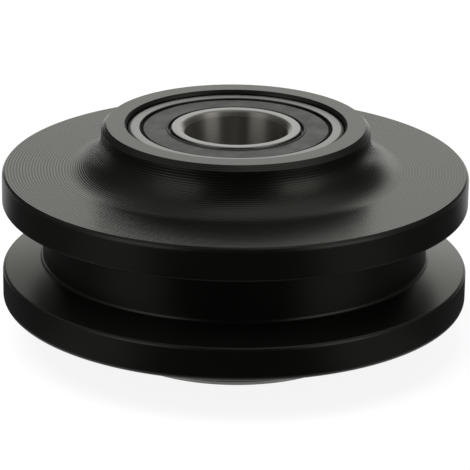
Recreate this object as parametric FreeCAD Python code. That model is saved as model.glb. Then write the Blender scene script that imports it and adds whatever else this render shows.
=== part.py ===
import FreeCAD, Part
import math
import os

# Grooved roller of a sliding door: a wheel turned from black engineering plastic that
# runs on two sealed ball bearings, one in each end of its hub.
# The origin is the centre of the wheel and +Z runs along the axle. Sizes are in mm.
# The wheel is the same above and below its mid-plane, so most outlines are drawn for
# the upper half only, as (radius, height) points, and are mirrored.

# Wheel. The sizes along the axle add up from the mid-plane: half the groove's floor,
# the taper of a flange, its rim, and the hub that stands out of it. The hub keeps at
# least LEAST_LAND of straight wall between its fillet and its chamfer.
WHEEL_DIAMETER = 90.0
GROOVE_DEPTH = 7.8
GROOVE_FLOOR_WIDTH = 9.0
FLANGE_TAPER = 2.0
RIM_WIDTH = 6.5
HUB_STAND = 9.0
HUB_WALL = 4.9
HUB_FILLET = 6.8
HUB_CHAMFER = 1.0
LEAST_LAND = 0.3
RIM_CHAMFER = 0.5
MOUTH_ROUND = 0.6
GROOVE_CORNER = 0.5
BEARING_RECESS = 0.75
SEAT_CHAMFER = 0.3
SEAT_CLEARANCE = 0.005
SHOULDER_HEIGHT = 2.8
SHOULDER_CHAMFER = 0.4

# Bearing. Bore, ring walls and balls add up to its standard outside diameter of 42.
BEARING_BORE = 20.0
BEARING_WIDTH = 12.0
RING_WALL = 2.305
LAND_HEIGHT = 1.295
OUTER_RING_CORNER = 0.7
BORE_CHAMFER = 0.5
BORE_CHAMFER_LENGTH = 1.1
EDGE_BREAK = 0.12

# Balls and their races
BALL_COUNT = 9
BALL_DIAMETER = 6.35
RACE_CONFORMITY = 0.52
RACE_CLEARANCE = 0.02

# Pressed cage, two ribbons joined by rivets between the balls
CAGE_THICKNESS = 0.5
CAGE_WIDTH = 2.6
POCKET_CLEARANCE = 0.08
RIVET_DIAMETER = 0.9
RIVET_HEAD_DIAMETER = 1.7
RIVET_HEAD_HEIGHT = 0.45
RIVET_CLEARANCE = 0.01

# Snap groove for a seal in the outer ring, and the land for its lip on the inner ring
SEAL_MOUTH_STEP = 1.07
SEAL_UNDERCUT = 0.48
SEAL_GROOVE_DEPTH = 0.5
SEAL_GROOVE_WIDTH = 0.6
LIP_LAND_DROP = 1.275
LIP_LAND_LENGTH = 2.0

# Rubber seal. Depths are below the face of the rings.
SEAL_CLEARANCE = 0.02
SEAL_FACE_GAP = 0.67
SEAL_FACE_DEPTH = 0.27
BEAD_DEPTH = 0.62
LIP_CLEARANCE = 0.05
LIP_REACH = 0.675
LIP_DEPTH = 1.0
LIP_THICKNESS = 0.3
RAISED_EDGE_WIDTH = 0.45
RAISED_EDGE_HEIGHT = 0.17

# Spacer sleeve between the inner rings
SPACER_CLEARANCE = 0.1
SPACER_CHAMFER = 0.3

AXIS = FreeCAD.Vector(0, 0, 1)
CENTRE = FreeCAD.Vector(0, 0, 0)

ball_radius = BALL_DIAMETER / 2
ball_angle = 360.0 / BALL_COUNT
bore_radius = BEARING_BORE / 2
inner_race = bore_radius + RING_WALL
pitch_radius = inner_race + RACE_CLEARANCE + ball_radius
outer_race = pitch_radius + ball_radius + RACE_CLEARANCE
bearing_radius = outer_race + RING_WALL
inner_land = inner_race + LAND_HEIGHT
outer_land = outer_race - LAND_HEIGHT
lip_land = inner_land - LIP_LAND_DROP
seal_mouth = outer_land + SEAL_MOUTH_STEP
seal_groove = seal_mouth + SEAL_UNDERCUT
ring_half = BEARING_WIDTH / 2
groove_top = ring_half - SEAL_GROOVE_DEPTH
groove_bottom = groove_top - SEAL_GROOVE_WIDTH
floor_edge = GROOVE_FLOOR_WIDTH / 2
mouth_edge = floor_edge + FLANGE_TAPER
flange_face = mouth_edge + RIM_WIDTH
hub_end = flange_face + HUB_STAND
bearing_face = hub_end - BEARING_RECESS
bearing_centre = bearing_face - ring_half
shoulder = bearing_face - BEARING_WIDTH


def at(point):
    """Place a (radius, height) point in the plane that outlines are drawn in."""
    return FreeCAD.Vector(point[0], 0, point[1])


def turned(start, *steps):
    """Turn a closed outline about Z. A step is a corner, or (middle, end) of an arc."""
    edges = []
    here = at(start)
    for step in steps + (start,):
        if isinstance(step[0], tuple):
            there = at(step[1])
            edges.append(Part.Arc(here, at(step[0]), there).toShape())
        else:
            there = at(step)
            edges.append(Part.makeLine(here, there))
        here = there
    return Part.Face(Part.Wire(edges)).revolve(CENTRE, AXIS, 360)


def both_halves(upper):
    """Join an upper half to its mirror image in the plane of the balls or the wheel."""
    return upper.fuse(upper.mirror(CENTRE, AXIS)).removeSplitter()


def ring_edges(shape, *corners):
    """Find the round edges of a turned shape that lie at the given corners."""
    found = []
    for edge in shape.Edges:
        if not isinstance(edge.Curve, Part.Circle):
            continue
        place = at((edge.Curve.Radius, edge.Curve.Center.z))
        if any(place.distanceToPoint(at(corner)) < 1e-4 for corner in corners):
            found.append(edge)
    return found


def placed(shape, height=0.0, angle=0.0):
    """Copy a shape, turned about the axle and moved along it."""
    copy = shape.copy()
    copy.rotate(CENTRE, AXIS, angle)
    copy.translate(AXIS * height)
    return copy


def wheel_body():
    """Hub, two flanges and the track groove between them, with a bearing seat each end."""
    rim = WHEEL_DIAMETER / 2
    floor = rim - GROOVE_DEPTH
    hub = bearing_radius + HUB_WALL
    seat = bearing_radius + SEAT_CLEARANCE
    bore = bearing_radius - SHOULDER_HEIGHT
    half = turned(
        (bore, 0),
        (floor, 0),
        (floor, floor_edge),
        (rim, mouth_edge),
        (rim, flange_face),
        (hub, flange_face),
        (hub, hub_end),
        (seat, hub_end),
        (seat, shoulder),
        (bore, shoulder),
    )
    hub_fillet = min(HUB_FILLET, HUB_STAND - HUB_CHAMFER - LEAST_LAND)
    half = half.makeFillet(hub_fillet, ring_edges(half, (hub, flange_face)))
    half = half.makeFillet(MOUTH_ROUND, ring_edges(half, (rim, mouth_edge)))
    half = half.makeFillet(GROOVE_CORNER, ring_edges(half, (floor, floor_edge)))
    half = half.makeChamfer(HUB_CHAMFER, ring_edges(half, (hub, hub_end)))
    half = half.makeChamfer(RIM_CHAMFER, ring_edges(half, (rim, flange_face)))
    half = half.makeChamfer(SEAT_CHAMFER, ring_edges(half, (seat, hub_end)))
    half = half.makeChamfer(SHOULDER_CHAMFER, ring_edges(half, (bore, shoulder)))
    return both_halves(half)


def race(land, bottom, side):
    """Race from its edge on the land to its bottom; side is 1 outside the balls, -1 inside."""
    radius = RACE_CONFORMITY * BALL_DIAMETER
    middle = bottom - side * radius
    edge = math.sqrt(radius ** 2 - (land - middle) ** 2)
    angle = math.asin(edge / radius) / 2
    halfway = (middle + side * radius * math.cos(angle), radius * math.sin(angle))
    return (land, edge), (halfway, (bottom, 0))


def outer_ring():
    """Outer ring with its race, and a snap groove for a seal at each face."""
    race_edge, race_arc = race(outer_land, outer_race, 1)
    half = turned(
        (bearing_radius, 0),
        (bearing_radius, ring_half),
        (seal_mouth, ring_half),
        (seal_mouth, groove_top),
        (seal_groove, groove_top),
        (seal_groove, groove_bottom),
        (outer_land, groove_bottom),
        race_edge,
        race_arc,
    )
    half = half.makeFillet(OUTER_RING_CORNER, ring_edges(half, (bearing_radius, ring_half)))
    inner_edges = ring_edges(half, (seal_mouth, ring_half), (outer_land, groove_bottom))
    return both_halves(half.makeChamfer(EDGE_BREAK, inner_edges))


def inner_ring():
    """Inner ring with its race, and a lower land at each face for the seal's lip."""
    land_end = ring_half - LIP_LAND_LENGTH
    race_edge, race_arc = race(inner_land, inner_race, -1)
    half = turned(
        (bore_radius, 0),
        (bore_radius, ring_half - BORE_CHAMFER_LENGTH),
        (bore_radius + BORE_CHAMFER, ring_half),
        (lip_land, ring_half),
        (lip_land, land_end),
        (inner_land, land_end),
        race_edge,
        race_arc,
    )
    outer_edges = ring_edges(half, (lip_land, ring_half), (inner_land, land_end))
    return both_halves(half.makeChamfer(EDGE_BREAK, outer_edges))


def seal():
    """Seal of the upper face: bead in the outer ring, flat face, raised edge and thin lip."""
    bead = seal_groove - SEAL_CLEARANCE
    bead_top = ring_half - BEAD_DEPTH
    back = groove_bottom + SEAL_CLEARANCE
    face = ring_half - SEAL_FACE_DEPTH
    face_edge = seal_mouth - SEAL_FACE_GAP
    inner_edge = lip_land + LIP_REACH
    crest = (inner_edge + RAISED_EDGE_WIDTH / 2, face + RAISED_EDGE_HEIGHT)
    lip_top = ring_half - LIP_DEPTH
    tip = lip_land + LIP_CLEARANCE
    shape = turned(
        (bead, back),
        (bead, bead_top),
        (face_edge, bead_top),
        (face_edge, face),
        (inner_edge + RAISED_EDGE_WIDTH, face),
        (crest, (inner_edge, face)),
        (inner_edge, lip_top),
        (tip, lip_top),
        (tip, lip_top - LIP_THICKNESS),
        (inner_edge, back),
    )
    corners = ring_edges(shape, (bead, bead_top), (face_edge, face))
    return shape.makeChamfer(EDGE_BREAK, corners)


def balls():
    """The balls of one bearing, evenly spaced on their pitch circle."""
    ball = Part.makeSphere(ball_radius, at((pitch_radius, 0)))
    return [placed(ball, angle=number * ball_angle) for number in range(BALL_COUNT)]


def cage_half():
    """Upper ribbon of the cage: a flat ring pressed up over each ball, with rivet holes."""
    pocket_radius = ball_radius + POCKET_CLEARANCE
    shell_radius = pocket_radius + CAGE_THICKNESS
    inside = pitch_radius - CAGE_WIDTH / 2
    outside = pitch_radius + CAGE_WIDTH / 2
    band = turned((inside, 0), (outside, 0), (outside, shell_radius), (inside, shell_radius))
    ribbon = turned((inside, 0), (outside, 0), (outside, CAGE_THICKNESS), (inside, CAGE_THICKNESS))
    shell = Part.makeSphere(shell_radius, at((pitch_radius, 0))).common(band)
    pocket = Part.makeSphere(pocket_radius, at((pitch_radius, 0)))
    hole = Part.makeCylinder(RIVET_DIAMETER / 2 + RIVET_CLEARANCE, CAGE_THICKNESS, at((pitch_radius, 0)))
    angles = [number * ball_angle for number in range(BALL_COUNT)]
    ribbon = ribbon.fuse([placed(shell, angle=angle) for angle in angles])
    ribbon = ribbon.cut([placed(pocket, angle=angle) for angle in angles])
    ribbon = ribbon.cut([placed(hole, angle=angle + ball_angle / 2) for angle in angles])
    return ribbon.removeSplitter()


def cage_rivets():
    """Rivets that hold the two ribbons together, each with a domed head at both ends."""
    shank = RIVET_DIAMETER / 2
    head = RIVET_HEAD_DIAMETER / 2
    crown = CAGE_THICKNESS + RIVET_HEAD_HEIGHT
    dome_radius = (head ** 2 + RIVET_HEAD_HEIGHT ** 2) / (2 * RIVET_HEAD_HEIGHT)
    angle = math.asin(head / dome_radius) / 2
    halfway = (dome_radius * math.sin(angle), crown - dome_radius * (1 - math.cos(angle)))
    rivet = both_halves(turned(
        (0, 0),
        (shank, 0),
        (shank, CAGE_THICKNESS),
        (head, CAGE_THICKNESS),
        (halfway, (0, crown)),
    ))
    rivet.translate(at((pitch_radius, 0)))
    angles = [(number + 0.5) * ball_angle for number in range(BALL_COUNT)]
    return Part.makeCompound([placed(rivet, angle=angle) for angle in angles])


def spacer_sleeve():
    """Sleeve that keeps the two inner rings apart when the axle bolt clamps them."""
    bore = bore_radius + SPACER_CLEARANCE
    half = turned((bore, 0), (lip_land, 0), (lip_land, shoulder), (bore, shoulder))
    corners = ring_edges(half, (bore, shoulder), (lip_land, shoulder))
    return both_halves(half.makeChamfer(SPACER_CHAMFER, corners))


def bearing():
    """Name the pieces of the upper bearing, with its centre at the origin."""
    pieces = {
        "outer_ring": outer_ring(),
        "inner_ring": inner_ring(),
        "outboard_seal": seal(),
        "inboard_seal": seal().mirror(CENTRE, AXIS),
        "outboard_cage": cage_half(),
        "inboard_cage": cage_half().mirror(CENTRE, AXIS),
        "cage_rivets": cage_rivets(),
    }
    for number, ball in enumerate(balls(), start=1):
        pieces[f"ball_{number}"] = ball
    return pieces


nodes = {"wheel_body": wheel_body(), "spacer_sleeve": spacer_sleeve()}
for name, piece in bearing().items():
    upper = placed(piece, height=bearing_centre)
    nodes[f"upper_{name}"] = upper
    nodes[f"lower_{name}"] = upper.mirror(CENTRE, AXIS)

os.makedirs("parts", exist_ok=True)
for name, shape in nodes.items():
    shape.exportStep(f"parts/{name}.step")
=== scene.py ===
"""Looks of a sliding door roller: a turned grooved wheel on two sealed ball bearings.

Lengths are in metres. The axle is the Z axis, and the wheel's middle plane is at zero height.
"""
from math import asin, ceil, cos, degrees, pi, radians, sin, tan

import bmesh
import bpy
from bpy.props import FloatProperty, FloatVectorProperty, IntProperty, PointerProperty
from mathutils import Matrix, Vector


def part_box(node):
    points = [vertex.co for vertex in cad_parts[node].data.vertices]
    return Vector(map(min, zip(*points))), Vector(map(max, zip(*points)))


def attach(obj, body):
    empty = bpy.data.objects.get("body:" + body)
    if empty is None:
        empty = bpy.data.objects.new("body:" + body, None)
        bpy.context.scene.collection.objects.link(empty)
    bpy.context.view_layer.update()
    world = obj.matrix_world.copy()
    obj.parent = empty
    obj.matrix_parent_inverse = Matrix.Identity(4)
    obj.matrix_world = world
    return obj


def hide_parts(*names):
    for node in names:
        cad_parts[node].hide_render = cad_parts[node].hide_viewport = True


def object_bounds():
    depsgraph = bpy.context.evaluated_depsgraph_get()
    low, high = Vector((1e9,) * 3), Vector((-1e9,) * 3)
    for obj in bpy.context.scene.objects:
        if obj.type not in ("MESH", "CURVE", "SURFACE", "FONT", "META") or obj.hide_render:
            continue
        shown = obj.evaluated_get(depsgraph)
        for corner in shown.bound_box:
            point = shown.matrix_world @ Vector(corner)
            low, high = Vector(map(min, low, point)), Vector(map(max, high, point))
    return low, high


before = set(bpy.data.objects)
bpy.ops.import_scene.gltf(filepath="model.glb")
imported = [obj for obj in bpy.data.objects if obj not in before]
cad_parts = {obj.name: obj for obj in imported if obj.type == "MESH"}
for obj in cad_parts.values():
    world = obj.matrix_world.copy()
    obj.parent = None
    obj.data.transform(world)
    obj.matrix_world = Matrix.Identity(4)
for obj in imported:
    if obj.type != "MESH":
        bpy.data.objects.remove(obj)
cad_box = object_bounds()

bl_info = {
    "name": "Sliding Door Roller",
    "version": (1, 0, 0),
    "blender": (4, 5, 0),
    "location": "3D View > Sidebar > Door Roller",
    "description": "Builds a turned, grooved door roller with its sealed bearings and spacer",
    "category": "Add Mesh",
}

wheel_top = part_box("wheel_body")[1]
ring_low, ring_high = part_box("upper_outer_ring")
spacer_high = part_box("spacer_sleeve")[1]

# Points of a mesh that are closer than this are merged.
merge_distance = 2e-7
# Faces that meet at a larger angle have a sharp edge between them.
sharp_angle = radians(24)
# Most degrees in one step of a rounding; roundings over the wide radius have more steps.
step_degrees = 10
wide_rounding = 0.002
# Half the width of the blend between two finishes of one piece.
finish_blend = 0.00004
# Balls, cage ribbons and sets of rivets in the two bearings.
inside_pieces = 24


def length(name, description, default):
    """A size that the sidebar shows as a distance."""
    return FloatProperty(
        name=name, description=description, default=default, min=0.0, unit="LENGTH", precision=5
    )


def colour(name, description, default):
    """A finish colour."""
    return FloatVectorProperty(
        name=name, description=description, default=default, size=3, min=0.0, max=1.0,
        subtype="COLOR",
    )


class RollerWheelSizes(bpy.types.PropertyGroup):
    """Sizes of the turned wheel."""

    rim_radius: length("Rim radius", "Outer radius of both flanges", wheel_top.x)
    hub_height: length("Hub height", "Middle plane to the end of the hub", wheel_top.z)
    hub_radius: length("Hub radius", "Outer radius of the hub", 0.0259)
    hub_fillet: length("Hub fillet", "Radius where the hub meets the flange", 0.0068)
    hub_chamfer: length("Hub chamfer", "Chamfer round the hub's end", 0.001)
    flange_height: length("Flange height", "Middle plane to a flange's outer face", 0.013)
    rim_chamfer: length("Rim chamfer", "Chamfer round a flange's outer face", 0.00055)
    rim_blend: length("Rim blend", "Rounding between the chamfer and the rim", 0.0013)
    mouth_height: length("Groove mouth", "Middle plane to the groove's mouth", 0.0065)
    mouth_round: length("Mouth round", "Rounding of the groove's mouth", 0.0008)
    floor_radius: length("Groove floor radius", "Radius of the groove's floor", 0.0372)
    floor_height: length("Groove floor", "Middle plane to the floor's corner", 0.0045)
    floor_corner: length("Groove corner", "Rounding at the groove's floor", 0.0008)
    seat_radius: length("Seat radius", "Radius of the bearing seat", 0.021005)
    seat_flare: length("Seat flare", "Widening at the mouth of the seat", 0.0004)
    seat_lead: length("Seat lead-in", "Length of the widened mouth", 0.0007)
    shoulder_height: length("Shoulder height", "Middle plane to the seat's shoulder", ring_low.z)
    shoulder_radius: length("Shoulder radius", "Bore between the two seats", 0.0182)
    shoulder_chamfer: length("Shoulder chamfer", "Chamfer round the shoulder", 0.0004)
    edge_break: length("Edge break", "Rounding left on the turned corners", 0.0001)
    turning_pitch: length("Turning pitch", "Distance between two turning marks", 0.00058)


class RollerBearingSizes(bpy.types.PropertyGroup):
    """Sizes of one sealed ball bearing and of the spacer."""

    centre_height: length(
        "Bearing centre", "Middle plane to the bearing's centre", (ring_low.z + ring_high.z) / 2
    )
    half_width: length("Half width", "Half the bearing's width", (ring_high.z - ring_low.z) / 2)
    ring_radius: length("Ring radius", "Outer radius of the outer ring", ring_high.x)
    ring_corner: length("Ring corner", "Rounding of the outer ring's corners", 0.0007)
    mouth_radius: length("Seal mouth", "Outer ring's radius outside the seal groove", 0.01847)
    groove_radius: length("Seal groove radius", "Radius of the seal's snap groove", 0.01895)
    groove_top: length("Seal groove top", "Ring face to the snap groove", 0.0005)
    groove_bottom: length("Seal groove bottom", "Ring face to the groove's far side", 0.0011)
    outer_land: length("Outer land", "Outer ring's radius beside its race", 0.0174)
    inner_land: length("Inner land", "Inner ring's radius beside its race", 0.0136)
    race_width: length("Race half width", "Half the width of a race", 0.002622)
    race_depth: length("Race depth", "Depth of a race below its land", 0.001295)
    lip_land: length("Lip land", "Inner ring's radius under the seal lip", 0.0125)
    lip_length: length("Lip land length", "Length of the lip land", 0.002)
    bore_radius: length("Bore radius", "Radius of the axle bore", 0.010)
    bore_chamfer: length("Bore chamfer", "Chamfer across the inner ring's face", 0.0005)
    bore_lead: length("Bore lead", "Chamfer along the bore", 0.0011)
    bore_round: length("Bore round", "Rounding between the chamfer and the face", 0.0008)
    land_round: length("Land round", "Rounding round the inner ring's face", 0.0003)
    edge_break: length("Edge break", "Small chamfer on the rings' edges", 0.00012)
    bead_radius: length("Seal bead radius", "Outer radius of the seal's bead", 0.01893)
    bead_top: length("Seal bead top", "Ring face to the top of the bead", 0.00062)
    seal_back: length("Seal back", "Ring face to the back of the seal", 0.00108)
    face_radius: length("Seal face radius", "Outer radius of the seal's flat face", 0.0178)
    face_depth: length("Seal face depth", "Ring face to the seal's flat face", 0.00027)
    edge_radius: length("Seal edge radius", "Radius at the seal's inner edge", 0.013)
    edge_width: length("Raised edge width", "Width of the raised inner edge", 0.00045)
    edge_height: length("Raised edge height", "Height of the raised inner edge", 0.00017)
    lip_top: length("Lip top", "Ring face to the top of the lip", 0.001)
    lip_bottom: length("Lip bottom", "Ring face to the underside of the lip", 0.0013)
    lip_tip: length("Lip tip radius", "Radius of the lip's tip", 0.01255)
    bead_round: length("Bead round", "Rounding of the bead's outer edge", 0.0001)
    face_round: length("Seal face round", "Rounding round the seal's flat face", 0.00012)
    lip_round: length("Lip round", "Rounding of the lip's tip", 0.00008)
    spacer_radius: length("Spacer radius", "Outer radius of the spacer", spacer_high.x)
    spacer_bore: length("Spacer bore", "Bore radius of the spacer", 0.0101)
    spacer_height: length("Spacer height", "Middle plane to the spacer's end", spacer_high.z)
    spacer_chamfer: length("Spacer chamfer", "Chamfer on the spacer's edges", 0.0003)


class RollerFinish(bpy.types.PropertyGroup):
    """Colours of the finishes and fineness of the turned surfaces."""

    plastic: colour("Black plastic", "Turned satin-black plastic", (0.0035, 0.0035, 0.0033))
    ground_steel: colour("Ground steel", "Ground faces of the bearing rings", (0.31, 0.308, 0.306))
    rubber: colour("Seal rubber", "Moulded black rubber", (0.016, 0.016, 0.0155))
    bore_steel: colour("Bore steel", "Honed steel of the axle bore", (0.54, 0.515, 0.48))
    spacer_steel: colour("Spacer steel", "Turned steel of the spacer", (0.28, 0.275, 0.26))
    ball_steel: colour("Ball steel", "Polished steel of the balls", (0.55, 0.55, 0.54))
    cage_steel: colour("Cage steel", "Pressed steel of the ball cages", (0.42, 0.41, 0.39))
    segments: IntProperty(
        name="Segments", description="Steps in one full turn of a piece", default=320,
        min=48, max=512,
    )


class RollerStage(bpy.types.PropertyGroup):
    """Camera, floor and lights."""

    distance: length("Camera distance", "Camera to the wheel's middle", 0.6262)
    aim_side: FloatProperty(
        name="Aim side", description="Place along X of the point that the camera looks at",
        default=0.00007, unit="LENGTH", precision=5,
    )
    aim_height: FloatProperty(
        name="Aim height", description="Height of the point that the camera looks at",
        default=-0.00084, unit="LENGTH", precision=5,
    )
    elevation: FloatProperty(
        name="Elevation", description="Camera's angle above the wheel's middle plane",
        default=radians(20.088), subtype="ANGLE",
    )
    roll: FloatProperty(
        name="Roll", description="Turn of the camera about its line of sight",
        default=radians(0.70), subtype="ANGLE",
    )
    lens: FloatProperty(
        name="Lens", description="Focal length on a 36 mm wide frame, in millimetres",
        default=246.8, min=1.0,
    )
    floor_width: length("Floor width", "Width of the pale floor", 4.0)
    floor_gap: length("Floor gap", "Gap between the floor and the wheel", 0.00002)
    panel_power: FloatProperty(
        name="Back panel power", description="Power of the soft panel behind the wheel",
        default=0.37, min=0.0, unit="POWER",
    )
    key_power: FloatProperty(
        name="Key power", description="Power of the soft key lamp", default=9.0, min=0.0,
        unit="POWER",
    )


def arch(half_width, depth):
    """Distance to the point where a shallow arc's end tangents meet, and the arc's radius."""
    radius = (half_width ** 2 + depth ** 2) / (2 * depth)
    return half_width * tan(asin(half_width / radius)), radius


def draw_section(mesh, corners):
    """Draw a closed section from corners of radius, height and rounding; return its edges."""
    points = [Vector((radius, 0.0, height)) for radius, height, _ in corners]
    chain = []
    for index, (_, _, rounding) in enumerate(corners):
        corner = points[index]
        if not rounding:
            chain.append(mesh.verts.new(corner))
            continue
        back = (points[index - 1] - corner).normalized()
        ahead = (points[(index + 1) % len(points)] - corner).normalized()
        half = back.angle(ahead) / 2
        start = corner + back * (rounding / tan(half))
        end = corner + ahead * (rounding / tan(half))
        centre = corner + (back + ahead).normalized() * (rounding / sin(half))
        fineness = max(1.0, rounding / wide_rounding) ** 0.5
        steps = max(3, ceil(degrees(pi - 2 * half) * fineness / step_degrees))
        before = len(mesh.verts)
        first = mesh.verts.new(start)
        bmesh.ops.spin(
            mesh, geom=[first], cent=centre, axis=(start - centre).cross(end - centre),
            angle=pi - 2 * half, steps=steps,
        )
        mesh.verts.ensure_lookup_table()
        chain.extend(mesh.verts[before:])
        miss = (chain[-1].co - end).length
        if miss > merge_distance / 2:
            raise RuntimeError(f"a rounding ends {miss} m off its corner")
    for first, second in zip(chain, chain[1:] + chain[:1]):
        if not mesh.edges.get((first, second)):
            mesh.edges.new((first, second))
    bmesh.ops.remove_doubles(mesh, verts=mesh.verts[:], dist=merge_distance)
    return mesh.edges[:]


def turned(name, corners, material, body, slot, *nodes):
    """Spin a section about the axle and put it in place of its CAD nodes."""
    mesh = bmesh.new()
    section = draw_section(mesh, corners)
    bmesh.ops.spin(
        mesh, geom=section, cent=(0, 0, 0), axis=(0, 0, 1), angle=2 * pi,
        steps=bpy.context.scene.roller_finish.segments, use_merge=True,
    )
    return finished(name, mesh, material, body, slot, *nodes)


def new_object(name, mesh, material):
    """Make an object of a mesh, with its material, and link it to the scene."""
    data = bpy.data.meshes.new(name)
    mesh.to_mesh(data)
    mesh.free()
    data.materials.append(material)
    item = bpy.data.objects.new(name, data)
    bpy.context.scene.collection.objects.link(item)
    return item


def finished(name, mesh, material, body, slot, *nodes):
    """Close the mesh, shade it smooth with sharp edges and hand it to its body."""
    bmesh.ops.remove_doubles(mesh, verts=mesh.verts[:], dist=merge_distance)
    bmesh.ops.recalc_face_normals(mesh, faces=mesh.faces[:])
    for face in mesh.faces:
        face.smooth = True
    for edge in mesh.edges:
        if len(edge.link_faces) != 2:
            raise RuntimeError(f"{name} has an open edge")
        edge.smooth = edge.calc_face_angle() < sharp_angle
    piece = new_object(name, mesh, material)
    weighted = piece.modifiers.new("Face weighted normals", "WEIGHTED_NORMAL")
    weighted.keep_sharp = True
    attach(piece, body)
    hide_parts(*nodes)
    return piece


class Nodes:
    """A node tree being built."""

    def __init__(self, tree):
        self.tree = tree

    def add(self, kind, operation=None, inputs=(), **settings):
        """Add a node, with numbers set on its sockets and outputs linked to them."""
        node = self.tree.nodes.new(kind)
        if operation:
            node.operation = operation
        for key, value in settings.items():
            setattr(node, key, value)
        for key, value in dict(inputs).items():
            if isinstance(value, bpy.types.NodeSocket):
                self.tree.links.new(value, node.inputs[key])
            else:
                node.inputs[key].default_value = value
        return node

    def maths(self, operation, *values):
        """A Math node's result."""
        return self.add("ShaderNodeMath", operation, enumerate(values)).outputs[0]

    def joined(self, operation, first, *others):
        """Several values joined by one operation, two at a time."""
        for value in others:
            first = self.maths(operation, first, value)
        return first

    def ranged(self, value, low, high, new_low=0.0, new_high=1.0):
        """A value moved smoothly from one range to another, and kept inside it."""
        node = self.add(
            "ShaderNodeMapRange",
            inputs={0: value, 1: low, 2: high, 3: new_low, 4: new_high},
            interpolation_type="SMOOTHSTEP",
        )
        return node.outputs[0]

    def split(self, vector):
        """A vector's shares along X, Y and Z."""
        return self.add("ShaderNodeSeparateXYZ", inputs={0: vector}).outputs

    def level(self, vector):
        """A vector's length as seen from above."""
        flat = self.add("ShaderNodeVectorMath", "MULTIPLY", {0: vector, 1: (1, 1, 0)})
        return self.add("ShaderNodeVectorMath", "LENGTH", {0: flat.outputs[0]}).outputs["Value"]


class Finish(Nodes):
    """A material being built: a shader and the patterns that feed it."""

    def __init__(self, name, base, roughness, metallic=0.0):
        self.material = bpy.data.materials.new(name)
        self.material.use_nodes = True
        super().__init__(self.material.node_tree)
        self.shader = self.tree.nodes["Principled BSDF"]
        self.shader.inputs["Base Color"].default_value = (*base, 1.0)
        self.shader.inputs["Roughness"].default_value = roughness
        self.shader.inputs["Metallic"].default_value = metallic
        self.shader.inputs["IOR"].default_value = 1.5
        self.coordinates = self.add("ShaderNodeTexCoord").outputs["Object"]

    def radius(self):
        """Distance from the axle."""
        return self.level(self.coordinates)

    def height(self):
        """Distance from the middle plane."""
        return self.maths("ABSOLUTE", self.split(self.coordinates)["Z"])

    def across(self, side):
        """Distance along a turned surface: the radius and a share of the height, added up."""
        return self.maths("MULTIPLY_ADD", self.height(), side, self.radius())

    def outside(self, radius):
        """1 beyond a radius from the axle, 0 inside it."""
        return self.ranged(self.radius(), radius - finish_blend, radius + finish_blend)

    def rings(self, distance, scale):
        """Uneven rings, as a tool leaves them, between 0 and 1."""
        noise = self.add(
            "ShaderNodeTexNoise", inputs={"W": distance, "Scale": scale, "Detail": 2.0},
            noise_dimensions="1D",
        )
        return noise.outputs["Fac"]

    def grain(self, scale, detail=3.0):
        """Fine even grain, between 0 and 1."""
        noise = self.add(
            "ShaderNodeTexNoise",
            inputs={
                "Vector": self.coordinates, "Scale": scale, "Detail": detail, "Roughness": 0.6,
            },
        )
        return noise.outputs["Fac"]

    def feed(self, socket, value):
        """Link a pattern to the shader."""
        self.tree.links.new(value, self.shader.inputs[socket])

    def bumped(self, height, depth, below=None):
        """Feed a height to the shader's normal, over another bump if there is one."""
        inputs = {"Height": height, "Distance": depth}
        if below:
            inputs["Normal"] = below
        bump = self.add("ShaderNodeBump", inputs=inputs)
        self.feed("Normal", bump.outputs["Normal"])
        return bump.outputs["Normal"]

    def brushed(self, amount):
        """Stretch the highlights across the marks that run round the axle."""
        round_axle = self.add(
            "ShaderNodeVectorMath", "CROSS_PRODUCT", {0: (0, 0, 1), 1: self.coordinates}
        )
        turned = self.add(
            "ShaderNodeVectorTransform", inputs={0: round_axle.outputs[0]}, vector_type="VECTOR",
            convert_from="OBJECT", convert_to="WORLD",
        )
        unit = self.add("ShaderNodeVectorMath", "NORMALIZE", {0: turned.outputs[0]})
        self.feed("Tangent", unit.outputs[0])
        quarter_turn = 0.25
        self.shader.inputs["Anisotropic"].default_value = amount
        self.shader.inputs["Anisotropic Rotation"].default_value = quarter_turn

    def tones(self, value, dark, light):
        """Feed the base colour with a pattern between two tones."""
        mix = self.add(
            "ShaderNodeMix", inputs={0: value, 6: (*dark, 1.0), 7: (*light, 1.0)}, data_type="RGBA"
        )
        self.feed("Base Color", mix.outputs[2])

    def paint_shade(self, mask, tone, roughness):
        """Darken the masked part with painted shade, and give it its own roughness."""
        now = {name: self.shader.inputs[name].links[0].from_socket
               for name in ("Base Color", "Roughness")}
        mix = self.add(
            "ShaderNodeMix", inputs={0: mask, 6: now["Base Color"], 7: (*tone, 1.0)},
            data_type="RGBA",
        )
        self.feed("Base Color", mix.outputs[2])
        rough = self.add("ShaderNodeMix", inputs={0: mask, 2: now["Roughness"], 3: roughness})
        self.feed("Roughness", rough.outputs[0])


def shade(base, factor):
    """A tone lighter or darker than a colour."""
    return tuple(min(1.0, channel * factor) for channel in base)


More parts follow.
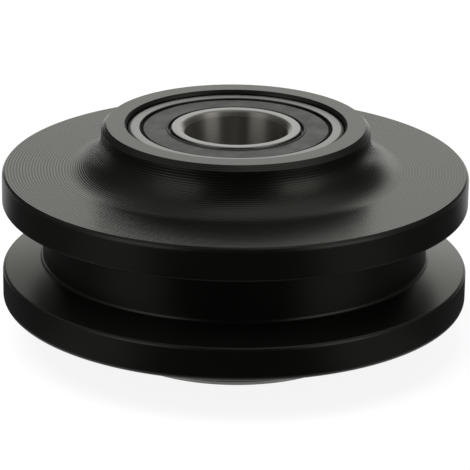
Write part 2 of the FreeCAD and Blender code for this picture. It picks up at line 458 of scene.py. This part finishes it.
def turned_plastic(base, size):
    """Satin-black plastic with turning marks, strongest on the flanges' left and the fillets."""
    # Strength of the marks, against that on the left of the flanges' faces.
    groove_share = 0.08
    end_share = 0.15
    rim_share = 0.1
    right_share = 0.35
    fillet_share = 1.4
    fade_width = 0.034
    reflection_tint = (0.985, 1.0, 0.915, 1.0)
    finish = Finish("turned_black_plastic", base, roughness=0.27)
    finish.shader.inputs["Specular Tint"].default_value = reflection_tint
    height = finish.height()
    radius = finish.radius()
    face, end, rim = size.flange_height, size.hub_height, size.rim_radius
    place = finish.split(finish.coordinates)
    # Distance towards the right and the front, where the marks fade.
    side = finish.maths("SUBTRACT", place["X"], finish.maths("MULTIPLY", place["Y"], 0.7))
    zone = finish.maths(
        "MULTIPLY",
        finish.joined(
            "MINIMUM",
            finish.ranged(height, face - 0.0006, face - 0.0002, groove_share, 1.0),
            finish.ranged(height, end - 0.0003, end - 0.0001, 1.0, end_share),
            finish.ranged(radius, rim - 0.0002, rim - 0.0001, 1.0, rim_share),
        ),
        finish.ranged(side, 0.0, fade_width, 1.0, right_share),
    )
    deep = finish.maths(
        "MINIMUM", finish.ranged(height, face + 0.0001, face + 0.0005, 1.0, fillet_share),
        finish.ranged(height, end - 0.0014, end - 0.0008, fillet_share, 1.0),
    )
    across = finish.across(-1.0)
    wave = finish.maths("SINE", finish.maths("MULTIPLY", across, 2 * pi / size.turning_pitch))
    uneven = finish.rings(across, 1.0 / size.turning_pitch)
    haze = finish.grain(55.0)
    marks = finish.joined(
        "MULTIPLY", finish.maths("ADD", uneven, wave), zone,
        finish.ranged(haze, 0.3, 0.7, 0.6, 1.0), deep,
    )
    low = finish.bumped(marks, depth=1.2e-5)
    finish.bumped(finish.grain(2600.0, 2.0), depth=0.8e-6, below=low)
    finish.feed(
        "Roughness", finish.ranged(finish.maths("MULTIPLY", wave, zone), -1.0, 1.0, 0.2, 0.4)
    )
    finish.tones(haze, shade(base, 0.8), shade(base, 1.3))
    return finish.material


def ground_steel(name, base, roughness, depth, brushing, dull_and_shaded_beyond=None, deep_shade_below=None):
    """Bright steel with fine rings; painted shade darkens it beyond a radius, where it is also
    rougher, and below a height.
    """
    # Shares of the base tone that the painted shade leaves, and the height over which the painted
    # shade below a height fades out.
    corner_shade_share = 0.16
    deep_shade_share = 0.12
    deep_shade_fade = 0.002
    dull_roughness = 0.5
    finish = Finish(name, base, roughness, metallic=1.0)
    across = finish.across(1.0)
    fine = finish.rings(across, 9000.0)
    broad = finish.rings(across, 1400.0)
    low = finish.bumped(finish.maths("MULTIPLY_ADD", fine, 0.5, broad), depth)
    finish.bumped(finish.grain(3000.0), depth * 0.5, low)
    finish.feed(
        "Roughness", finish.ranged(broad, 0.25, 0.75, roughness * 0.95, roughness * 1.06)
    )
    finish.tones(finish.rings(across, 2600.0), shade(base, 0.93), shade(base, 1.06))
    if dull_and_shaded_beyond:
        # Painted shade: beyond the radius the steel is darkened where the ring's corner sits in
        # the seat's recess.
        finish.paint_shade(finish.outside(dull_and_shaded_beyond), shade(base, corner_shade_share), dull_roughness)
    if deep_shade_below:
        # Painted shade: the steel darkens below a height, deep in the bore where little light
        # reaches.
        deep_shade = finish.ranged(finish.height(), deep_shade_below - deep_shade_fade, deep_shade_below, 1.0, 0.0)
        finish.paint_shade(deep_shade, shade(base, deep_shade_share), roughness)
    finish.brushed(brushing)
    return finish.material


def moulded_rubber(base, gap_shade_start):
    """Matt black rubber with a fine moulded grain and faint rings; rougher and darkened with
    painted shade in the bead's gap.
    """
    finish = Finish("moulded_seal_rubber", base, roughness=0.42)
    low = finish.bumped(finish.rings(finish.across(1.0), 2400.0), depth=0.6e-6)
    finish.bumped(finish.grain(5200.0, 4.0), depth=3.0e-6, below=low)
    finish.feed("Roughness", finish.ranged(finish.grain(240.0), 0.3, 0.7, 0.43, 0.53))
    finish.tones(finish.grain(420.0), shade(base, 0.75), shade(base, 1.3))
    # Painted shade darkens the gap between the bead and the ring's mouth.
    finish.paint_shade(finish.outside(gap_shade_start), shade(base, 0.3), roughness=0.95)
    return finish.material


def polished_steel(base):
    """Mirror-bright steel of the balls, with the faintest cloudiness."""
    finish = Finish("polished_ball_steel", base, roughness=0.08, metallic=1.0)
    cloud = finish.grain(500.0)
    finish.feed("Roughness", finish.ranged(cloud, 0.3, 0.7, 0.06, 0.11))
    finish.bumped(finish.grain(2200.0), depth=0.2e-6)
    finish.tones(cloud, shade(base, 0.96), shade(base, 1.03))
    return finish.material


def pressed_steel(base):
    """Thin pressed sheet steel with a dull drawn surface."""
    finish = Finish("pressed_cage_steel", base, roughness=0.34, metallic=1.0)
    drawn = finish.grain(1500.0, 5.0)
    finish.bumped(drawn, depth=2.0e-6)
    finish.feed("Roughness", finish.ranged(finish.grain(300.0), 0.3, 0.7, 0.28, 0.42))
    finish.tones(drawn, shade(base, 0.88), shade(base, 1.08))
    return finish.material


def both_ways(half, *middle):
    """A section's upper half, its middle corners and the upper half's mirror image."""
    mirrored = [(radius, -height, rounding) for radius, height, rounding in reversed(half)]
    return [*half, *middle, *mirrored]


def placed(corners, centre, side=1):
    """A section moved to its height, and turned over where the side is -1."""
    return [(radius, centre + side * height, rounding) for radius, height, rounding in corners]


class RollerWheelOperator(bpy.types.Operator):
    """Turn the wheel: hub, two flanges and the track groove."""

    bl_idname = "roller.turned_wheel"
    bl_label = "Turned Wheel"

    def execute(self, context):
        size = context.scene.roller_wheel
        material = turned_plastic(context.scene.roller_finish.plastic, size)
        rim, hub, edge = size.rim_radius, size.hub_radius, size.edge_break
        seat, bore = size.seat_radius, size.shoulder_radius
        half = [
            (bore, size.shoulder_height - size.shoulder_chamfer, 0),
            (bore + size.shoulder_chamfer, size.shoulder_height, 0),
            (seat, size.shoulder_height, 0),
            (seat, size.hub_height - size.seat_lead, 0),
            (seat + size.seat_flare, size.hub_height, edge * 0.6),
            (hub - size.hub_chamfer, size.hub_height, edge),
            (hub, size.hub_height - size.hub_chamfer, edge),
            (hub, size.flange_height, size.hub_fillet),
            (rim - size.rim_chamfer, size.flange_height, edge),
            (rim, size.flange_height - size.rim_chamfer, size.rim_blend),
            (rim, size.mouth_height, size.mouth_round),
            (size.floor_radius, size.floor_height, size.floor_corner),
        ]
        turned("turned_wheel", both_ways(half), material, "wheel", "black_plastic", "wheel_body")
        return {"FINISHED"}


class RollerRingsOperator(bpy.types.Operator):
    """Grind the outer and inner rings of both bearings, with their races."""

    bl_idname = "roller.bearing_rings"
    bl_label = "Bearing Rings"

    def execute(self, context):
        size = context.scene.roller_bearing
        steel = context.scene.roller_finish.ground_steel
        face, edge = size.half_width, size.edge_break
        # The rounded corner and a hair of the face beside it are rougher, and darkened with
        # painted shade where the corner sits against the seat.
        shaded_corner_radius = size.ring_radius - size.ring_corner - 0.0001
        outer_steel = ground_steel(
            "ground_outer_ring_steel", shade(steel, 0.75), roughness=0.34, depth=1.2e-6,
            brushing=0.05, dull_and_shaded_beyond=shaded_corner_radius,
        )
        inner_steel = ground_steel(
            "ground_inner_ring_steel", shade(steel, 0.87), roughness=0.30, depth=1.2e-6,
            brushing=0.0,
        )
        # The bore's steel is darkened with painted shade low down, deep in the bore.
        honed = ground_steel(
            "honed_bore_steel", context.scene.roller_finish.bore_steel, roughness=0.46,
            depth=0.4e-6, brushing=1.0, deep_shade_below=0.0136,
        )
        reach, race = arch(size.race_width, size.race_depth)
        outer = [
            (size.ring_radius, face, size.ring_corner),
            (size.mouth_radius + edge, face, 0),
            (size.mouth_radius, face - edge, 0),
            (size.mouth_radius, face - size.groove_top, 0),
            (size.groove_radius, face - size.groove_top, 0),
            (size.groove_radius, face - size.groove_bottom, 0),
            (size.outer_land + edge, face - size.groove_bottom, 0),
            (size.outer_land, face - size.groove_bottom - edge, 0),
            (size.outer_land, size.race_width, 0),
        ]
        inner = [
            (size.bore_radius, face - size.bore_lead, edge * 2),
            (size.bore_radius + size.bore_chamfer, face, size.bore_round),
            (size.lip_land, face, size.land_round),
            (size.lip_land, face - size.lip_length, 0),
            (size.inner_land - edge, face - size.lip_length, 0),
            (size.inner_land, face - size.lip_length - edge, 0),
            (size.inner_land, size.race_width, 0),
        ]
        outer_section = both_ways(outer, (size.outer_land + reach, 0, race))
        inner_section = both_ways(inner, (size.inner_land - reach, 0, race))
        for level, centre in (("upper", size.centre_height), ("lower", -size.centre_height)):
            turned(
                f"{level}_ground_outer_ring", placed(outer_section, centre), outer_steel,
                "wheel", "ring_steel", f"{level}_outer_ring",
            )
            inner_ring = turned(
                f"{level}_ground_inner_ring", placed(inner_section, centre), inner_steel,
                "axle_side", "ring_steel", f"{level}_inner_ring",
            )
            inner_ring.data.materials.append(honed)
            for polygon in inner_ring.data.polygons:
                in_bore = polygon.center.xy.length < size.bore_radius + size.bore_chamfer
                polygon.material_index = int(in_bore)
        return {"FINISHED"}


class RollerSealsOperator(bpy.types.Operator):
    """Mould the four seals, one at each face of each bearing."""

    bl_idname = "roller.bearing_seals"
    bl_label = "Bearing Seals"

    def execute(self, context):
        size = context.scene.roller_bearing
        # The bead's gap is rougher and darkened with painted shade from just outside the seal's
        # face.
        gap_shade_start = size.face_radius + 0.00003
        material = moulded_rubber(context.scene.roller_finish.rubber, gap_shade_start)
        face = size.half_width
        top = face - size.face_depth
        reach, crest = arch(size.edge_width / 2, size.edge_height)
        section = [
            (size.bead_radius, face - size.seal_back, 0),
            (size.bead_radius, face - size.bead_top, size.bead_round),
            (size.face_radius, face - size.bead_top, 0),
            (size.face_radius, top, size.face_round),
            (size.edge_radius + size.edge_width, top, 0),
            (size.edge_radius + size.edge_width / 2, top + reach, crest),
            (size.edge_radius, top, 0),
            (size.edge_radius, face - size.lip_top, 0),
            (size.lip_tip, face - size.lip_top, size.lip_round),
            (size.lip_tip, face - size.lip_bottom, size.lip_round),
            (size.edge_radius, face - size.seal_back, 0),
        ]
        for level, centre in (("upper", size.centre_height), ("lower", -size.centre_height)):
            outward = 1 if centre > 0 else -1
            for place, side in (("outboard", outward), ("inboard", -outward)):
                turned(
                    f"{level}_{place}_rubber_seal", placed(section, centre, side), material,
                    "wheel", "seal_rubber", f"{level}_{place}_seal",
                )
        return {"FINISHED"}


class RollerSpacerOperator(bpy.types.Operator):
    """Turn the spacer that keeps the inner rings apart."""

    bl_idname = "roller.spacer"
    bl_label = "Spacer"

    def execute(self, context):
        size = context.scene.roller_bearing
        steel = context.scene.roller_finish.spacer_steel
        # The spacer sits deep in the bore: its steel is darkened throughout with painted shade.
        material = ground_steel(
            "spacer_steel_in_painted_shade", shade(steel, 0.14), roughness=0.33, depth=2.0e-6, brushing=0.8
        )
        end, edge = size.spacer_height, size.spacer_chamfer
        half = [
            (size.spacer_bore, end - edge, 0),
            (size.spacer_bore + edge, end, 0),
            (size.spacer_radius - edge, end, 0),
            (size.spacer_radius, end - edge, 0),
        ]
        turned(
            "turned_spacer", both_ways(half), material, "axle_side", "spacer_steel",
            "spacer_sleeve",
        )
        return {"FINISHED"}


class RollerBallsOperator(bpy.types.Operator):
    """Finish the balls, the pressed cages and their rivets inside the bearings."""

    bl_idname = "roller.balls_and_cages"
    bl_label = "Balls and Cages"

    def execute(self, context):
        tones = context.scene.roller_finish
        ball = polished_steel(tones.ball_steel)
        cage = pressed_steel(tones.cage_steel)
        dressed = 0
        for name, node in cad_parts.items():
            material = ball if "_ball_" in name else cage if "_cage" in name else None
            if material:
                node.data.materials.clear()
                node.data.materials.append(material)
                dressed += 1
        if dressed != inside_pieces:
            raise RuntimeError(f"{dressed} balls, cages and rivet sets, not {inside_pieces}")
        return {"FINISHED"}


def studio_world(scene):
    """White to the camera; round the object a bright back, two soft sides and a dim front."""
    world = bpy.data.worlds.new("studio")
    scene.world = world
    world.use_nodes = True
    nodes = Nodes(world.node_tree)
    nodes.tree.nodes.clear()
    maths = nodes.maths
    direction = nodes.add("ShaderNodeTexCoord").outputs["Generated"]
    across, along, height = nodes.split(direction)
    backward = maths("DIVIDE", along, maths("MAXIMUM", nodes.level(direction), 0.001))
    turn = maths("MULTIPLY_ADD", backward, 0.5, 0.5)
    lean = maths("MULTIPLY", across, maths("MULTIPLY_ADD", turn, 0.09, -0.045))
    turn = maths("ADD", turn, lean)

    def around(*stops):
        """Brightness at stops from the front, at 0, to the back, at 1."""
        ramp = nodes.add("ShaderNodeValToRGB", inputs={0: turn})
        elements = ramp.color_ramp.elements
        elements[0].position, elements[1].position = stops[0][0], stops[-1][0]
        for position, _ in stops[1:-1]:
            elements.new(position)
        for element, (_, bright) in zip(elements, stops):
            element.color = (bright, bright, bright, 1.0)
        return ramp.outputs[0]

    def blend(factor, first, second):
        """The first value where the factor is 0, the second where it is 1."""
        return maths("ADD", maths("MULTIPLY", first, maths("SUBTRACT", 1.0, factor)),
                     maths("MULTIPLY", second, factor))

    low = around(
        (0.0, 0.0), (0.075, 0.02), (0.105, 0.96), (0.27, 1.0), (0.33, 0.6), (0.38, 0.25),
        (0.46, 0.15), (0.67, 0.08), (0.79, 0.06), (0.945, 0.1), (0.975, 0.65), (0.992, 1.0),
    )
    high = around((0.0, 0.0), (0.1, 0.03), (0.2, 0.25), (0.9, 0.25), (0.97, 0.7))
    brighter_right = maths("MULTIPLY_ADD", across, 0.15, 0.95)
    sides = blend(nodes.ranged(height, 0.5, 0.68), maths("MULTIPLY", low, brighter_right), high)
    overhead = nodes.ranged(maths("MULTIPLY_ADD", across, 0.25, height), 0.86, 0.97)
    ceiling = 0.6
    soft = blend(overhead, sides, ceiling)
    seen = nodes.add("ShaderNodeLightPath").outputs["Is Camera Ray"]
    strength = maths("ADD", seen, maths("MULTIPLY", maths("SUBTRACT", 1.0, seen), soft))
    warm_white = (1, 1, 0.95, 1)
    white = (1, 1, 1, 1)
    tint = nodes.add(
        "ShaderNodeMix", inputs={0: seen, 6: warm_white, 7: white}, data_type="RGBA"
    )
    background = nodes.add(
        "ShaderNodeBackground", inputs={"Color": tint.outputs[2], "Strength": strength}
    )
    nodes.add("ShaderNodeOutputWorld", inputs={0: background.outputs[0]})


def floor_material():
    """Pale floor, white to the camera with a faint shadow; its reflection dims to the front."""
    material = bpy.data.materials.new("pale_floor")
    material.use_nodes = True
    nodes = Nodes(material.node_tree)
    nodes.tree.nodes.clear()
    coordinates = nodes.add("ShaderNodeTexCoord").outputs["Object"]
    path = nodes.add("ShaderNodeLightPath").outputs
    reach = nodes.level(coordinates)
    # In reflections the floor glows round the wheel's foot, at the front's sides and behind.
    pool = nodes.maths(
        "MULTIPLY", nodes.ranged(reach, 0.030, 0.060, 1.0, 0.0),
        nodes.ranged(reach, 0.009, 0.022, 0.05, 1.0),
    )
    along = nodes.split(coordinates)["Y"]
    turn = nodes.maths("DIVIDE", along, nodes.maths("MAXIMUM", reach, 0.001))
    side = nodes.maths(
        "MULTIPLY", nodes.ranged(turn, -0.92, -0.74, 0.0, 0.17),
        nodes.ranged(turn, -0.6, -0.2, 1.0, 0.3),
    )
    back = nodes.ranged(turn, 0.4, 0.95)
    glow = nodes.joined("MAXIMUM", side, back, pool)
    plain = nodes.add("ShaderNodeBsdfDiffuse", inputs={"Color": (0.8, 0.8, 0.8, 1.0)})
    shadowed = nodes.add("ShaderNodeBsdfDiffuse", inputs={"Color": (0.18, 0.18, 0.18, 1.0)})
    lift = nodes.add("ShaderNodeEmission", inputs={"Strength": 0.89})
    shown = nodes.add("ShaderNodeAddShader", inputs={0: shadowed.outputs[0], 1: lift.outputs[0]})
    mirrored = nodes.add("ShaderNodeEmission", inputs={"Strength": glow})
    reflecting = nodes.maths("MAXIMUM", path["Is Glossy Ray"], path["Is Transmission Ray"])
    first = nodes.add(
        "ShaderNodeMixShader", inputs={0: reflecting, 1: plain.outputs[0], 2: mirrored.outputs[0]}
    )
    last = nodes.add(
        "ShaderNodeMixShader",
        inputs={0: path["Is Camera Ray"], 1: first.outputs[0], 2: shown.outputs[0]},
    )
    nodes.add("ShaderNodeOutputMaterial", inputs={"Surface": last.outputs[0]})
    return material


def pale_floor(stage):
    """Lay the floor just under the wheel."""
    mesh = bmesh.new()
    bmesh.ops.create_grid(mesh, x_segments=1, y_segments=1, size=stage.floor_width / 2)
    under = cad_box[0][2] - stage.floor_gap
    bmesh.ops.translate(mesh, verts=mesh.verts[:], vec=(0, 0, under))
    new_object("pale_floor", mesh, floor_material())


def soft_lamp(scene, name, shape, width, height, power, place):
    """Hang an area lamp that looks at the wheel's middle."""
    lamp = bpy.data.lights.new(name, "AREA")
    lamp.shape = shape
    lamp.size, lamp.size_y = width, height
    lamp.energy = power
    item = bpy.data.objects.new(name, lamp)
    scene.collection.objects.link(item)
    item.location = place
    item.rotation_euler = (-item.location).to_track_quat("-Z", "Y").to_euler()
    return item


def aimed_camera(scene, stage):
    """Set a camera in front of the wheel, raised and slightly rolled."""
    view = bpy.data.cameras.new("camera")
    view.sensor_width = 36.0
    view.lens = stage.lens
    camera = bpy.data.objects.new("camera", view)
    scene.collection.objects.link(camera)
    tilt, roll = stage.elevation, stage.roll
    forward = Vector((0, cos(tilt), -sin(tilt)))
    right = Vector((1, 0, 0))
    up = Vector((0, sin(tilt), cos(tilt)))
    turn = Matrix((
        cos(roll) * right + sin(roll) * up,
        cos(roll) * up - sin(roll) * right,
        -forward,
    )).transposed()
    place = Vector((stage.aim_side, 0, stage.aim_height)) - forward * stage.distance
    camera.matrix_world = Matrix.Translation(place) @ turn.to_4x4()
    scene.camera = camera


class RollerStageOperator(bpy.types.Operator):
    """Set the floor, the soft lights and the camera."""

    bl_idname = "roller.stage"
    bl_label = "Stage"

    def execute(self, context):
        scene = context.scene
        stage = scene.roller_stage
        scene.view_settings.view_transform = "Standard"
        studio_world(scene)
        pale_floor(stage)
        key = soft_lamp(
            scene, "soft_key", "DISK", width=0.9, height=0.9, power=stage.key_power,
            place=(-0.25, -0.35, 1.0),
        )
        key.visible_glossy = False
        panel = soft_lamp(
            scene, "back_panel", "RECTANGLE", width=0.75, height=0.6, power=stage.panel_power,
            place=(0.0, 1.0, 0.4),
        )
        panel.data.color = (1.0, 1.0, 0.95)
        panel.visible_camera = False
        aimed_camera(scene, stage)
        return {"FINISHED"}


class RollerPanel(bpy.types.Panel):
    """Sidebar panel with a button for each group of pieces and the sizes below them."""

    bl_idname = "VIEW3D_PT_door_roller"
    bl_label = "Door Roller"
    bl_space_type = "VIEW_3D"
    bl_region_type = "UI"
    bl_category = "Door Roller"

    def draw(self, context):
        for operator in operators:
            self.layout.operator(operator.bl_idname)
        for group in groups:
            box = self.layout.box()
            settings = getattr(context.scene, group)
            for name in groups[group].__annotations__:
                box.prop(settings, name)


groups = {
    "roller_wheel": RollerWheelSizes,
    "roller_bearing": RollerBearingSizes,
    "roller_finish": RollerFinish,
    "roller_stage": RollerStage,
}
operators = (
    RollerWheelOperator,
    RollerRingsOperator,
    RollerSealsOperator,
    RollerSpacerOperator,
    RollerBallsOperator,
    RollerStageOperator,
)


def register():
    """Register the settings, the operators and the panel."""
    for name, group in groups.items():
        bpy.utils.register_class(group)
        setattr(bpy.types.Scene, name, PointerProperty(type=group))
    for item in (*operators, RollerPanel):
        bpy.utils.register_class(item)


def unregister():
    """Take everything that register() added out again."""
    for item in reversed((*operators, RollerPanel)):
        bpy.utils.unregister_class(item)
    for name, group in groups.items():
        delattr(bpy.types.Scene, name)
        bpy.utils.unregister_class(group)


def main():
    """Build every piece and the stage."""
    register()
    bpy.ops.roller.turned_wheel()
    bpy.ops.roller.bearing_rings()
    bpy.ops.roller.bearing_seals()
    bpy.ops.roller.spacer()
    bpy.ops.roller.balls_and_cages()
    bpy.ops.roller.stage()
    bpy.context.view_layer.update()


if __name__ == "__main__":
    main()
